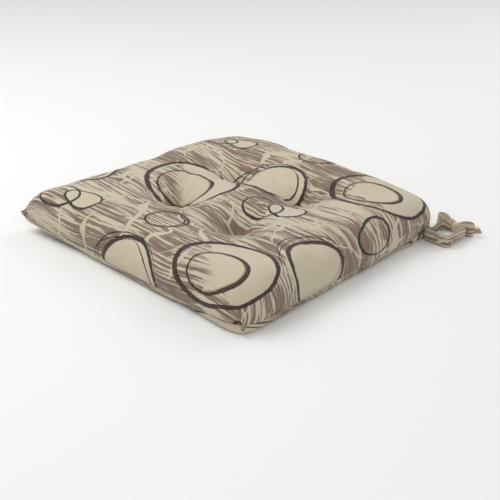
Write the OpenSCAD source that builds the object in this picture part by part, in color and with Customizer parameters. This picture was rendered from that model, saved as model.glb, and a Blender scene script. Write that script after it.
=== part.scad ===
// Tufted chair seat pad: a printed cotton cover sewn from two panels over a block of
// bonded fibre, drawn down by four tufting stitches, with a pair of tape ties at each
// rear corner that are tied round the chair's rear posts.
// +X is to the sitter's right seen from the front, +Y runs to the chair's back, +Z is up.
// The origin is the middle of the underside.

/* [Pad] */
// Width of the pad across the chair, at the seam
pad_w = 400; // [330:1:480]
// Depth of the pad from front to back, at the seam
pad_d = 400; // [330:1:480]
// Height of the crown above the seat
crown_h = 66; // [50:1:90]
// Height of the edge seam above the seat
seam_h = 12; // [12:1:28]
// How far the sides roll inwards from the seam to the crown
roll_w = 30; // [20:1:45]
// Radius of the corners in plan, at the seam
corner_r = 10; // [6:1:16]

/* [Cover] */
// Thickness of the cotton, with its turned seams
cover_t = 1; // [0.6:0.1:1.5]
// Width of the seam allowance turned inside
allowance_w = 10; // [6:1:14]
// Gap between the two seam allowances, which the seam thread fills
seam_gap = 0.6; // [0.5:0.05:1]
// Clearance between the cover and the filling
fill_gap = 0.3; // [0.2:0.05:0.6]

/* [Tufts] */
// Distance between the tufts across the pad
tuft_dx = 118; // [104:1:140]
// Distance between the tufts from front to back
tuft_dy = 124; // [104:1:140]
// Height of the floor of a dimple in the top
tuft_top_h = 34; // [28:1:42]
// Height of the roof of a dimple in the underside
tuft_low_h = 8; // [6:0.5:12]
// Radius of a dimple in the top
dimple_r = 50; // [40:1:52]
// Radius of a dimple in the underside
low_dimple_r = 26; // [20:1:34]
// Diameter of the tufting twine
twine_d = 1.2; // [0.8:0.1:1.6]
// Distance between the two needle holes of a tuft
needle_pitch = 6; // [5:0.5:8]

/* [Ties] */
// Height of the cotton tape as it stands on its edge
tape_w = 20; // [14:1:24]
// Thickness of the folded tape
tape_t = 2; // [1.4:0.1:2.6]
// Height that the tape's lower edge keeps above the seat
tape_lift = 0.3; // [0.2:0.1:1]
// Radius of the gathered ends of the ties, where they are sewn into the corner
root_r = 1.8; // [1.4:0.1:2.4]
// Clearance between the ties and the pad
tie_gap = 0.35; // [0.3:0.05:0.6]

/* [Stitches and label] */
// Width of the care label
label_w = 30; // [20:1:40]
// Height of the care label's lower edge above the seat
label_z = 2; // [1:0.5:5]
// Thickness of the folded care label
label_t = 0.8; // [0.5:0.1:1.2]
// Distance of the care label from the pad's centre line
label_x = 90; // [60:1:120]
// Number of hand stitches that close the filling gap
closing_count = 20; // [10:1:26]
// Distance from one closing stitch to the next
closing_pitch = 6; // [5:0.5:7]

/* [Hidden] */

print_colour = [0.80, 0.75, 0.64];
fibre_colour = [0.95, 0.95, 0.93];
thread_colour = [0.86, 0.81, 0.70];

arc_steps = 12;          // straight steps in a quarter of the side's roll
dimple_steps = 14;       // straight steps from a dimple's floor to its rim
tack_flat_r = 6;         // radius of the flat floor that a tuft's tack lies on
needle_clearance = 0.3;  // between the twine and its needle hole, on the radius
touch = 0.2;             // between pieces that only lie against each other
seam_inset = 1.6;        // from the pad's edge to the seam thread
thread_d = 0.4;          // sewing thread
knot_r = 2.2;            // knot that ends a tufting stitch under the pad
closing_len = 4.4;       // length of one closing stitch
twine_bend = 1;          // radius of the bends of the tufting twine

top_rim_z = seam_h + seam_gap / 2;
low_rim_z = seam_h - seam_gap / 2;
needle_r = twine_d / 2 + needle_clearance;

// ---- The padded shape ----

// Section across one half of the pad, above or below its rim: a quarter ellipse at each end.
function section(across, z_rim, z_mid, r) =
    concat([for (i = [0 : arc_steps]) let (a = 90 * i / arc_steps)
            [across / 2 - r + r * cos(a), z_rim + (z_mid - z_rim) * sin(a)]],
        [for (i = [arc_steps : -1 : 0]) let (a = 90 * i / arc_steps)
            [r - across / 2 - r * cos(a), z_rim + (z_mid - z_rim) * sin(a)]]);

// The pad's outline in plan, drawn in by a distance all round.
module outline(inset) {
    r = corner_r - inset;
    w = pad_w - 2 * inset;
    d = pad_d - 2 * inset;
    square([w - 2 * r, d], center = true);
    square([w, d - 2 * r], center = true);
    for (sx = [-1, 1], sy = [-1, 1])
        translate([sx * (w / 2 - r), sy * (d / 2 - r)]) circle(r, $fn = 64);
}

// One half of the pad, above or below its rim, drawn in by a distance: where the runs
// across and along the pad meet, inside its outline.
module half_pad(inset, z_rim, z_mid) {
    w = pad_w - 2 * inset;
    d = pad_d - 2 * inset;
    r = roll_w - inset;
    intersection() {
        rotate([90, 0, 90])
            linear_extrude(w + 2, center = true) polygon(section(d, z_rim, z_mid, r));
        rotate([90, 0, 0])
            linear_extrude(d + 2, center = true) polygon(section(w, z_rim, z_mid, r));
        translate([0, 0, -1]) linear_extrude(crown_h + 2) outline(inset);
    }
}

// ---- Tufts ----

module at_tufts()
    for (sx = [-1, 1], sy = [-1, 1])
        translate([sx * tuft_dx / 2, sy * tuft_dy / 2, 0]) children();

// Height of a dimple's surface, from its floor in the middle to its rim at radius r_rim.
function dimple_z(r, r_rim, z_floor, z_rim) =
    let (t = max(0, (r - tack_flat_r) / (r_rim - tack_flat_r)))
        z_floor + (z_rim - z_floor) * (1 - cos(180 * min(1, t))) / 2;

// Points of a dimple's surface, lifted by a distance.
function dimple_curve(r_rim, z_floor, z_rim, lift) =
    concat([[0, z_floor + lift]],
        [for (i = [0 : dimple_steps])
            let (r = tack_flat_r + (r_rim - tack_flat_r) * i / dimple_steps)
                [r, dimple_z(r, r_rim, z_floor, z_rim) + lift]]);

// The cloth of a dimple, from z to z + t at each radius.
module dimple_cloth(r_rim, z_floor, z_rim, t)
    rotate_extrude($fn = 64)
        polygon(concat(dimple_curve(r_rim, z_floor, z_rim, 0),
            [for (i = [dimple_steps + 1 : -1 : 0]) dimple_curve(r_rim, z_floor, z_rim, t)[i]]));

// Everything on the far side of a dimple's surface, out to z_far.
module dimple_void(r_rim, z_floor, z_rim, lift, z_far)
    rotate_extrude($fn = 64)
        polygon(concat(dimple_curve(r_rim, z_floor, z_rim, lift), [[r_rim, z_far], [0, z_far]]));

module needle_holes()
    at_tufts()
        for (side = [-1, 1])
            translate([side * needle_pitch / 2, 0, -1])
                cylinder(h = crown_h + 2, r = needle_r, $fn = 24);

// ---- Cover ----

// The turned-in edge of a panel: a flat frame inside the pad's outline.
module allowance(z, t) {
    w_in = pad_w - 2 * (cover_t + allowance_w);
    d_in = pad_d - 2 * (cover_t + allowance_w);
    translate([0, 0, z])
        linear_extrude(t)
            difference() {
                outline(cover_t / 2);
                square([w_in, d_in], center = true);
            }
}

module top_panel() color(print_colour)
    difference() {
        union() {
            difference() {
                half_pad(0, top_rim_z, crown_h);
                translate([0, 0, -0.01]) half_pad(cover_t, top_rim_z, crown_h - cover_t);
                at_tufts() cylinder(h = crown_h + 1, r = dimple_r, $fn = 64);
            }
            at_tufts() dimple_cloth(dimple_r, tuft_top_h - cover_t, crown_h - cover_t, cover_t);
            allowance(top_rim_z, cover_t / 2);
        }
        needle_holes();
    }

module bottom_panel() color(print_colour)
    difference() {
        union() {
            difference() {
                half_pad(0, low_rim_z, 0);
                translate([0, 0, 0.01]) half_pad(cover_t, low_rim_z, cover_t);
                at_tufts() translate([0, 0, -1]) cylinder(h = 4, r = low_dimple_r, $fn = 64);
            }
            at_tufts() dimple_cloth(low_dimple_r, tuft_low_h, 0, cover_t);
            allowance(low_rim_z - cover_t / 2, cover_t / 2);
        }
        needle_holes();
    }

// ---- Filling ----

module fibre_block() color(fibre_colour) {
    inset = cover_t + fill_gap;
    top_floor = tuft_top_h - inset;
    low_roof = tuft_low_h + inset;
    // The block is cut back round the seam allowances, which lie along its edge.
    waist = cover_t / 2 + seam_gap / 2 + fill_gap;
    waist_w = pad_w - 2 * (cover_t + allowance_w + fill_gap);
    waist_d = pad_d - 2 * (cover_t + allowance_w + fill_gap);
    difference() {
        union() {
            half_pad(inset, seam_h, crown_h - inset);
            half_pad(inset, seam_h, inset);
        }
        difference() {
            translate([-pad_w, -pad_d, seam_h - waist]) cube([2 * pad_w, 2 * pad_d, 2 * waist]);
            translate([-waist_w / 2, -waist_d / 2, 0]) cube([waist_w, waist_d, crown_h]);
        }
        at_tufts() dimple_void(dimple_r, top_floor, crown_h - inset, 0, crown_h + 1);
        at_tufts() dimple_void(low_dimple_r, low_roof, inset, 0, -1);
        needle_holes();
    }
}

// ---- Threads ----

// A rod lying along a direction, as a cylinder from one point to another.
module rod(from, to, d) {
    v = to - from;
    translate(from)
        rotate([0, acos(v[2] / norm(v)), atan2(v[1], v[0])])
            cylinder(h = norm(v), d = d, $fn = 20);
}

// The lockstitch of the edge seam, as one ring of thread between the two allowances.
module edge_seam_thread() color(thread_colour)
    translate([0, 0, seam_h]) {
        r = corner_r - seam_inset;
        w = pad_w - 2 * seam_inset;
        d = pad_d - 2 * seam_inset;
        for (side = [-1, 1]) {
            rod([-w / 2 + r, side * d / 2, 0], [w / 2 - r, side * d / 2, 0], thread_d);
            rod([side * w / 2, -d / 2 + r, 0], [side * w / 2, d / 2 - r, 0], thread_d);
        }
        for (corner = [0 : 3])
            let (sx = corner == 0 || corner == 3 ? 1 : -1, sy = corner < 2 ? 1 : -1)
                translate([sx * (w / 2 - r), sy * (d / 2 - r), 0])
                    rotate(90 * corner)
                        rotate_extrude(angle = 90, $fn = 48)
                            translate([r, 0]) circle(d = thread_d, $fn = 20);
    }

// A row of hand stitches that closes the filling gap in the middle of the rear seam.
module closing_stitches() color(thread_colour)
    for (i = [0 : closing_count - 1]) {
        x = (i - (closing_count - 1) / 2) * closing_pitch;
        y = pad_d / 2 + touch + thread_d;
        rod([x - closing_len / 2, y, seam_h - 1], [x + closing_len / 2, y, seam_h + 1], 2 * thread_d);
    }

// One tufting stitch: a bar on the top, two legs through the pad, a bar and a knot below.
module tuft_twine(sx, sy) color(thread_colour)
    translate([sx * tuft_dx / 2, sy * tuft_dy / 2, 0]) {
        top_z = tuft_top_h + twine_d / 2 + touch;
        low_z = tuft_low_h - twine_d / 2 - touch;
        half = needle_pitch / 2;
        for (side = [-1, 1])
            rod([side * half, 0, low_z + twine_bend], [side * half, 0, top_z - twine_bend], twine_d);
        for (end = [[top_z, 1], [low_z, -1]]) {
            rod([twine_bend - half, 0, end[0]], [half - twine_bend, 0, end[0]], twine_d);
            for (side = [-1, 1])
                translate([side * (half - twine_bend), 0, end[0] - end[1] * twine_bend])
                    scale([side, 1, end[1]])
                        rotate([90, 0, 0])
                            rotate_extrude(angle = 90, $fn = 32)
                                translate([twine_bend, 0]) circle(d = twine_d, $fn = 20);
        }
        translate([0, 0, tuft_low_h - touch - knot_r]) sphere(knot_r, $fn = 24);
    }

module care_label() color("white")
    translate([-label_x - label_w / 2, pad_d / 2 + touch, label_z])
        cube([label_w, label_t, seam_h - 2 * thread_d - label_z]);

// ---- Ties ----

// Where the ties are gathered and sewn in, from the pad's rear corner along both sides.
root_at = (root_r + tie_gap) * cos(45) - corner_r * (1 - cos(45));

// Routes in plan, measured from the pad's rear corner on the right, outwards and backwards.
// The loop that they close fits a chair post 38 wide and 48 deep.
outer_route = [[0.1, -3], [1.4, -5], [2.7, -7.4], [3.5, -10.4], [3.7, -14], [3.9, -20],
    [5.2, -24.2], [9, -25.3], [18, -25.3], [27, -25.3], [36, -25.3], [41, -25], [44, -22.5],
    [44.3, -18], [44.3, -8], [44.3, 4], [44.3, 15], [44, 22], [41.5, 25],
    [37, 25.3], [30, 25.3], [24, 25.3]];
inner_route = [[-0.3, 0.7], [1, 2.8], [2.4, 5], [3.4, 7.8], [3.7, 11.4], [3.7, 18],
    [4.6, 23.4], [7.4, 25.2], [11, 25.3], [16, 25.3]];
root_z = seam_h - 6;     // middle of a tie where it leaves the seam
root_len = 10;           // height of the gathered ends
root_share = 0.5;        // share of the tape's height left where it leaves the seam
knot_x = [16, 24];       // the knot, from the inner tie's end to the outer tie's end
knot_y = [22.6, 32];
knot_z = [3, 17];
loop_len = 26;           // how far a bow loop reaches from the knot
loop_w = 11;             // how far it opens
loop_y = 34.5;           // middle line of the loops
loop_z = [2.8, 20];
tail_w = 18;
tail_z = [0.3, 2.3];
// Middle lines of the two tails, in the same plan.
outer_tail = [[27, 37], [31, 46], [38, 55], [48, 62]];
inner_tail = [[13, 37], [8, 46], [0, 54], [-12, 60]];

// Unit vector square to a line at point i, in plan, pointing to its left.
function left_of(line, i) =
    let (a = line[max(0, i - 1)], b = line[min(len(line) - 1, i + 1)], v = (b - a) / norm(b - a))
        [-v[1], v[0]];

// Eight corners of the tape's section at point i: a flat oval standing on its edge,
// which grows to its full height over the first five points.
tape_section = [[1, -0.4], [1, 0.4], [0.6, 1], [-0.6, 1], [-1, 0.4], [-1, -0.4], [-0.6, -1], [0.6, -1]];
function tape_ring(route, i) =
    let (n = left_of(route, i), g = min(1, i / 4), t = tape_t / 2,
        h = tape_w / 2 * (root_share + (1 - root_share) * g),
        z = root_z + (tape_lift + tape_w / 2 - root_z) * g)
        [for (s = tape_section)
            [route[i][0] + n[0] * s[0] * t, route[i][1] + n[1] * s[0] * t, z + s[1] * h]];

// A tape that follows a route, as one closed skin of triangles.
module tape(route) {
    sides = len(tape_section);
    last = len(route) - 1;
    walls = [for (i = [0 : last - 1], j = [0 : sides - 1])
        let (a = i * sides + j, b = i * sides + (j + 1) % sides)
            each [[a, a + sides, b + sides], [a, b + sides, b]]];
    ends = [for (j = [1 : sides - 2])
        each [[0, j, j + 1], [last * sides, last * sides + j + 1, last * sides + j]]];
    translate([pad_w / 2, pad_d / 2, 0])
        polyhedron([for (i = [0 : last]) each tape_ring(route, i)], concat(walls, ends));
}

// The ends of both ties of a corner, gathered and sewn into the seam.
module tie_root()
    translate([pad_w / 2 + root_at, pad_d / 2 + root_at, root_z])
        cylinder(h = root_len, r = root_r, center = true, $fn = 32);

// A tail of the bow lying on the seat, as a strip that follows its middle line.
module tail(line)
    translate([0, 0, tail_z[0]])
        linear_extrude(tail_z[1] - tail_z[0])
            polygon(concat(
                [for (i = [0 : len(line) - 1]) line[i] + left_of(line, i) * tail_w / 2],
                [for (i = [len(line) - 1 : -1 : 0]) line[i] - left_of(line, i) * tail_w / 2]));

// The bow as its outer shape: the knot, two filled loops and two tails.
module bow()
    translate([pad_w / 2, pad_d / 2, 0]) {
        translate([knot_x[0] + touch, knot_y[0], knot_z[0]])
            cube([knot_x[1] - knot_x[0] - 2 * touch, knot_y[1] - knot_y[0], knot_z[1] - knot_z[0]]);
        for (side = [-1, 1])
            translate([side < 0 ? knot_x[0] : knot_x[1], loop_y, loop_z[0]])
                linear_extrude(loop_z[1] - loop_z[0])
                    polygon([for (a = [-180 : 20 : 160])
                        [side * (loop_len * (1 + cos(a)) / 2), loop_w / 2 * sin(a)]]);
        tail(outer_tail);
        tail(inner_tail);
    }

module right_tie_root() color(print_colour) tie_root();
module right_tie_outer() color(print_colour) tape(outer_route);
module right_tie_inner() color(print_colour) tape(inner_route);
module right_bow() color(print_colour) bow();
module left_tie_root() mirror([1, 0, 0]) right_tie_root();
module left_tie_outer() mirror([1, 0, 0]) right_tie_outer();
module left_tie_inner() mirror([1, 0, 0]) right_tie_inner();
module left_bow() mirror([1, 0, 0]) right_bow();

top_panel();
bottom_panel();
fibre_block();
edge_seam_thread();
closing_stitches();
tuft_twine(-1, -1);  // tuft_twine_front_left
tuft_twine(1, -1);  // tuft_twine_front_right
tuft_twine(-1, 1);  // tuft_twine_rear_left
tuft_twine(1, 1);  // tuft_twine_rear_right
care_label();
right_tie_root();
right_tie_outer();
right_tie_inner();
right_bow();
left_tie_root();
left_tie_outer();
left_tie_inner();
left_bow();
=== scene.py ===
# %% [markdown]
# # A tufted seat pad in printed cotton
# The pad is two cotton panels sewn into a bag, filled with springy fibre and drawn down by
# four tufting stitches. A pair of tape ties at each rear corner goes round the chair's post.
# The CAD frame holds every place and size. Here each soft piece gets its real shape and finish.

# %% Load the frame
import math

import bmesh
import bpy
import numpy as np
from mathutils import Matrix, Vector


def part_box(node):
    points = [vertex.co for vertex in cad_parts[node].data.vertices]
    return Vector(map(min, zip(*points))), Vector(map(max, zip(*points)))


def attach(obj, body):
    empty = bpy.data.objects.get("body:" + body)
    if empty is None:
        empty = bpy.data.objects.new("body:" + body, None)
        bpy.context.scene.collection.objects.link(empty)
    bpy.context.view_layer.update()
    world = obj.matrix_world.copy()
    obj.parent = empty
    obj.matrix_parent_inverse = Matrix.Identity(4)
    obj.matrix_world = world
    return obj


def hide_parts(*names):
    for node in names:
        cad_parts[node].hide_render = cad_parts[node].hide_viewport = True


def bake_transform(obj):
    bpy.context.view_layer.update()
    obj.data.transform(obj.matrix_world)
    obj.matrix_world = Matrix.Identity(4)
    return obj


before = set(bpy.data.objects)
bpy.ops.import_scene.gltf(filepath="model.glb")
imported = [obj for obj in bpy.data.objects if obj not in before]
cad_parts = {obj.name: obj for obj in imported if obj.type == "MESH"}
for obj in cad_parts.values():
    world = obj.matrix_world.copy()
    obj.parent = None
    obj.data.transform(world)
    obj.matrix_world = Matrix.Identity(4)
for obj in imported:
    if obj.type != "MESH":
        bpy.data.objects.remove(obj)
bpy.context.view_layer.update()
MM = 0.001

# %% [markdown]
# ## Camera, floor and light
# A view is three angles, a place and a lens. The camera looks down at the pad from its front
# right, a little rolled, through a long lens, as a product is usually shown. The light is a large
# soft lamp over the left shoulder with a weaker one opposite, so that dimples show but stay soft.

# %% Camera
TURN, TILT, ROLL = (math.radians(a) for a in (42.6035, 27.2266, 1.2607))
EYE = Vector((0.8587, -0.90627, 0.6147))
LENS = 68.81


def look(turn, tilt, roll):
    """The camera's rotation: turned from the front, tilted down, then rolled."""
    back = Vector((math.sin(turn) * math.cos(tilt), -math.cos(turn) * math.cos(tilt), math.sin(tilt)))
    right = Vector((math.cos(turn), math.sin(turn), 0))
    up = back.cross(right)
    x = right * math.cos(roll) + up * math.sin(roll)
    y = up * math.cos(roll) - right * math.sin(roll)
    return Matrix((x, y, back)).transposed()


camera = bpy.data.objects.new("camera", bpy.data.cameras.new("camera"))
camera.data.lens = LENS
camera.matrix_world = Matrix.Translation(EYE) @ look(TURN, TILT, ROLL).to_4x4()
bpy.context.scene.collection.objects.link(camera)
bpy.context.scene.camera = camera

# %% Floor and lamps
FLOOR_SIZE = 6.0


def plain_finish(name, colour, roughness):
    """A shader with one colour and one roughness."""
    finish = bpy.data.materials.new(name)
    finish.use_nodes = True
    shader = finish.node_tree.nodes["Principled BSDF"]
    shader.inputs["Base Color"].default_value = (*colour, 1)
    shader.inputs["Roughness"].default_value = roughness
    return finish


def lamp(name, place, aim, size, power):
    """A square soft lamp at a place, aimed at a point."""
    light = bpy.data.lights.new(name, "AREA")
    light.size = size
    light.energy = power
    holder = bpy.data.objects.new(name, light)
    holder.location = place
    holder.rotation_euler = (Vector(aim) - Vector(place)).to_track_quat("-Z", "Y").to_euler()
    bpy.context.scene.collection.objects.link(holder)


floor_mesh = bpy.data.meshes.new("floor")
half = FLOOR_SIZE / 2
floor_mesh.from_pydata([(-half, -half, 0), (half, -half, 0), (half, half, 0), (-half, half, 0)],
                       [], [(0, 1, 2, 3)])
floor = bpy.data.objects.new("floor", floor_mesh)
floor.data.materials.append(plain_finish("pale floor", (0.86, 0.86, 0.85), 0.9))
bpy.context.scene.collection.objects.link(floor)

lamp("key lamp", (-0.9, -0.6, 1.6), (0, 0, 0), 1.2, 19)
lamp("fill lamp", (1.5, -1.0, 1.0), (0, 0, 0), 1.6, 6)
lamp("rim lamp", (0.2, 1.6, 1.3), (0, 0, 0), 1.4, 8)
bpy.context.scene.view_settings.view_transform = "Standard"
world = bpy.data.worlds.new("studio") if bpy.context.scene.world is None else bpy.context.scene.world
bpy.context.scene.world = world
world.use_nodes = True
world.node_tree.nodes["Background"].inputs["Color"].default_value = (1, 1, 1, 1)
world.node_tree.nodes["Background"].inputs["Strength"].default_value = 0.55

# %% [markdown]
# ## Shader helpers
# A procedural pattern is arithmetic on a place. These helpers write that arithmetic as nodes, one
# short call for each step, so that the pattern below reads like a formula.


# %% Node arithmetic
def put(tree, kind, inputs=(), **settings):
    """A node with its settings, whose inputs are values or other nodes' sockets."""
    node = tree.nodes.new(kind)
    for key, value in settings.items():
        setattr(node, key, value)
    for key, value in dict(inputs).items():
        if isinstance(value, bpy.types.NodeSocket):
            tree.links.new(value, node.inputs[key])
        else:
            node.inputs[key].default_value = value
    return node


def calc(tree, operation, *values):
    """The result of a Math node."""
    return put(tree, "ShaderNodeMath", enumerate(values), operation=operation).outputs[0]


def step_up(tree, value, low, high):
    """0 below low, 1 above high, and smooth between."""
    node = put(tree, "ShaderNodeMapRange", interpolation_type="SMOOTHSTEP",
               inputs={"Value": value, "From Min": low, "From Max": high})
    return node.outputs["Result"]


def mixed(tree, share, first, second):
    """A colour between two colours."""
    node = put(tree, "ShaderNodeMix", data_type="RGBA", inputs={0: share, 6: first, 7: second})
    return node.outputs[2]


def noisy(tree, place, stretch, detail=2.0, roughness=0.5, shift=0.0):
    """Noise at a place, where stretch gives the size of its grains in mm along X and Y."""
    scaled = put(tree, "ShaderNodeMapping", vector_type="POINT",
                 inputs={"Vector": place, "Location": (shift, shift * 0.7, shift),
                         "Scale": (1 / stretch[0], 1 / stretch[1], 1 / stretch[1])})
    return put(tree, "ShaderNodeTexNoise", inputs={"Vector": scaled.outputs[0], "Scale": 1.0,
               "Detail": detail, "Roughness": roughness}).outputs["Fac"]


def group(name, inputs, outputs):
    """A new node group, with its first and last nodes."""
    tree = bpy.data.node_groups.new(name, "ShaderNodeTree")
    for socket, kind in inputs:
        tree.interface.new_socket(socket, in_out="INPUT", socket_type=kind)
    for socket, kind in outputs:
        tree.interface.new_socket(socket, in_out="OUTPUT", socket_type=kind)
    return tree, tree.nodes.new("NodeGroupInput"), tree.nodes.new("NodeGroupOutput")


# %% [markdown]
# ## The print
# The cotton carries a half-drop repeat: each column of the pattern is the one beside it, dropped
# by half a repeat. So a motif is drawn once, round its own centre, in a place that has been folded
# back into one repeat. A motif is made of loops of brush line. Each loop is a circle that is
# stretched and made a little uneven, and its line swells on one side, as a brush leaves it.

# %% The repeat
REPEAT_X, REPEAT_Y = 220.0, 315.0
LONG_DROP = 176.0                    # the small motifs are a little off the half drop


def half_drop_group():
    """Folds a place into one repeat round a motif's centre."""
    tree, start, end = group("half drop", [("Place", "NodeSocketVector"), ("X", "NodeSocketFloat"),
                             ("Y", "NodeSocketFloat"), ("Columns", "NodeSocketFloat"),
                             ("Drop", "NodeSocketFloat")], [("Place", "NodeSocketVector")])
    given = start.outputs
    place = put(tree, "ShaderNodeSeparateXYZ", {0: given["Place"]})
    x = calc(tree, "SUBTRACT", place.outputs[0], given["X"])
    y = calc(tree, "SUBTRACT", place.outputs[1], given["Y"])
    column = calc(tree, "ROUND", calc(tree, "DIVIDE", x, given["Columns"]))
    x = calc(tree, "SUBTRACT", x, calc(tree, "MULTIPLY", column, given["Columns"]))
    y = calc(tree, "SUBTRACT", y, calc(tree, "MULTIPLY", column, given["Drop"]))
    row = calc(tree, "ROUND", calc(tree, "DIVIDE", y, REPEAT_Y))
    y = calc(tree, "SUBTRACT", y, calc(tree, "MULTIPLY", row, REPEAT_Y))
    folded = put(tree, "ShaderNodeCombineXYZ", {0: x, 1: y})
    tree.links.new(folded.outputs[0], end.inputs[0])
    return tree


# %% A brushed loop
LOOP_INPUTS = ("Wide", "High", "Oval", "Oval turn", "Bump", "Bump turn", "Line", "Swell", "Swell turn")


def loop_group():
    """A closed loop: how much of its line, and how much of its inside, is at a place."""
    inputs = [("Place", "NodeSocketVector")] + [(name, "NodeSocketFloat") for name in LOOP_INPUTS]
    tree, start, end = group("brushed loop", inputs, [("Line", "NodeSocketFloat"),
                                                     ("Inside", "NodeSocketFloat")])
    given = start.outputs
    place = put(tree, "ShaderNodeSeparateXYZ", {0: given["Place"]})
    x = calc(tree, "DIVIDE", place.outputs[0], given["Wide"])
    y = calc(tree, "DIVIDE", place.outputs[1], given["High"])
    reach = calc(tree, "MAXIMUM", calc(tree, "SQRT", calc(tree, "ADD", calc(tree, "MULTIPLY", x, x),
                 calc(tree, "MULTIPLY", y, y))), 0.05)
    around = calc(tree, "ARCTAN2", y, x)
    radius = 1.0
    for size, turn, lobes in (("Oval", "Oval turn", 2), ("Bump", "Bump turn", 3)):
        turned = calc(tree, "SUBTRACT", around, given[turn])
        wave = calc(tree, "COSINE", calc(tree, "MULTIPLY", turned, lobes))
        radius = calc(tree, "ADD", radius, calc(tree, "MULTIPLY", wave, given[size]))
    gx = calc(tree, "DIVIDE", x, given["Wide"])
    gy = calc(tree, "DIVIDE", y, given["High"])
    slope = calc(tree, "DIVIDE", calc(tree, "SQRT", calc(tree, "ADD", calc(tree, "MULTIPLY", gx, gx),
                 calc(tree, "MULTIPLY", gy, gy))), reach)
    away = calc(tree, "DIVIDE", calc(tree, "SUBTRACT", reach, radius), slope)
    side = calc(tree, "COSINE", calc(tree, "SUBTRACT", around, given["Swell turn"]))
    width = calc(tree, "MAXIMUM", calc(tree, "MULTIPLY_ADD", side, given["Swell"], given["Line"]), 0.0)
    edge = calc(tree, "SUBTRACT", calc(tree, "MULTIPLY", width, 0.5), calc(tree, "ABSOLUTE", away))
    tree.links.new(step_up(tree, edge, -0.25, 0.25), end.inputs["Line"])
    tree.links.new(step_up(tree, calc(tree, "MULTIPLY", away, -1.0), -0.4, 0.4), end.inputs["Inside"])
    return tree


HALF_DROP = half_drop_group()
LOOP = loop_group()
print("pattern groups:", HALF_DROP.name, "and", LOOP.name)

# %% [markdown]
# The motifs are plain lists: a centre in the cloth, then its loops. A loop gives its offset from
# the centre, its half sizes, its unevenness, and its line. All are in millimetres and radians.

# %% The motifs
BROWN = (0.034, 0.012, 0.012)
BLACK = (0.012, 0.010, 0.010)
TAN = (0.34, 0.20, 0.10)


def loop(x, y, wide, high, line, swell=0.0, swell_turn=0.0, oval=0.0, oval_turn=0.0, bump=0.0, bump_turn=0.0):
    """One loop of a motif."""
    return {"at": (x, y), "Wide": wide, "High": high, "Line": line, "Swell": swell,
            "Swell turn": swell_turn, "Oval": oval, "Oval turn": oval_turn,
            "Bump": bump, "Bump turn": bump_turn}


BIG_RINGS = (143, -178)
BIG_OUTER = loop(0, 2, 66, 59, 5.4, 2.6, 3.5, 0.06, 0.6, 0.015, 0.6)
BIG_OUTER_2 = loop(1.0, 2.4, 66.5, 59.5, 2.0, 3.8, 0.6, 0.06, 0.6, 0.015, 0.6)
BIG_INNER = loop(-4, -8, 40, 35, 4.4, 1.6, 0.2, 0.06, 0.7, 0.03, 0.3)
BIG_TAN = loop(-4, -8, 36.6, 31.6, 1.9, 0.5, 0.0, 0.06, 0.7, 0.03, 0.3)

ARCH = (1, 73)
ARCH_MAIN = loop(0, 0, 51, 45, 5.0, 1.8, 2.9, 0.03, 0.8, 0.05, 1.57)
ARCH_SECOND = loop(3, -2, 50, 46, 1.0, 2.8, 0.2, 0.02, 0.2, 0.04, 1.3)
ARCH_THIRD = loop(-4, -3, 44, 44, 0.2, 2.8, 0.1, 0.0, 0.0, 0.05, 1.8)
ARCH_SKETCH = [loop(-5, -3, 60, 53, 1.1, 0.9, 2.6, 0.05, 1.2, 0.03, 0.4),
               loop(-4, -5, 62, 51, 0.8, 1.1, 2.9, 0.03, 0.4, 0.04, 1.1)]

FLOWER = (-146, -180)
FLOWER_ROUND = loop(-20, -4, 29, 24, 3.5, 1.0, 5.6, 0.04, 0.6, 0.02, 0.4)
FLOWER_LEAF = loop(17, 6, 27, 21, 3.6, 1.0, 5.0, 0.06, 0.1, 0.09, 1.05)

# The pebbles come once in two columns: a grey one with a double line, and a dark one.
PEBBLE = (0, -138)
PEBBLE_LOOPS = [loop(-2, -1, 26, 23.5, 3.1, 0.6, 4.2, 0.06, 0.8, 0.02, 0.4),
                loop(2, 2, 26, 24, 2.1, 1.6, 0.7, 0.06, 0.6, 0.02, 0.2)]
DARK_PEBBLE = (212, 56)
DARK_LOOPS = [loop(0, 0, 27, 31, 3.4, 1.4, 2.6, 0.10, 1.9, 0.07, 0.5),
              loop(1, 1, 26, 30, 1.2, 1.6, 5.4, 0.10, 1.8, 0.06, 0.4)]

# %% [markdown]
# The ground between the motifs is dry brush work. Long noise, stretched along the stroke, makes the
# lines, and finer noise breaks their edges into bristle marks. A wide noise makes the brush fuller
# here and drier there. Bare veins fork across the strokes. They are the edges between the cells of a
# Voronoi pattern, and another wide noise makes each one swell, taper and stop.

# %% The printed cotton
# Sizes of the brush's marks in mm, along and across the stroke.
DRIFT, FULLNESS, STROKE, BRISTLE, BROKEN = (170, 120), (95, 50), (90, 3.9), (30, 0.9), (16, 3.0)
LIFT_OF_DRIFT = 34.0                 # how far the strokes wander from level, in mm
WET = (0.468, 0.50)                  # the noise's values between which the paint begins and is full
TREMBLE = 2.2                        # how far the hand-drawn lines shake, in mm
VEIN_CELL = (62, 74)                 # size of the cells that the bare veins run between, in mm
CREAM = (0.52, 0.455, 0.335)
CREAM_PALE = (0.58, 0.515, 0.39)
TAUPE = (0.158, 0.102, 0.074)
TAUPE_PALE = (0.255, 0.178, 0.132)
WORN = (0.62, 0.58, 0.48)
THREAD_PITCH = 0.55                  # distance between the weave's threads, in mm


def motif(tree, place, centre, columns=REPEAT_X, drop=REPEAT_Y / 2):
    """A place folded into one repeat round a motif's centre."""
    node = put(tree, "ShaderNodeGroup", node_tree=HALF_DROP,
               inputs={"Place": place, "X": centre[0], "Y": centre[1], "Columns": columns, "Drop": drop})
    return node.outputs[0]


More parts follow.
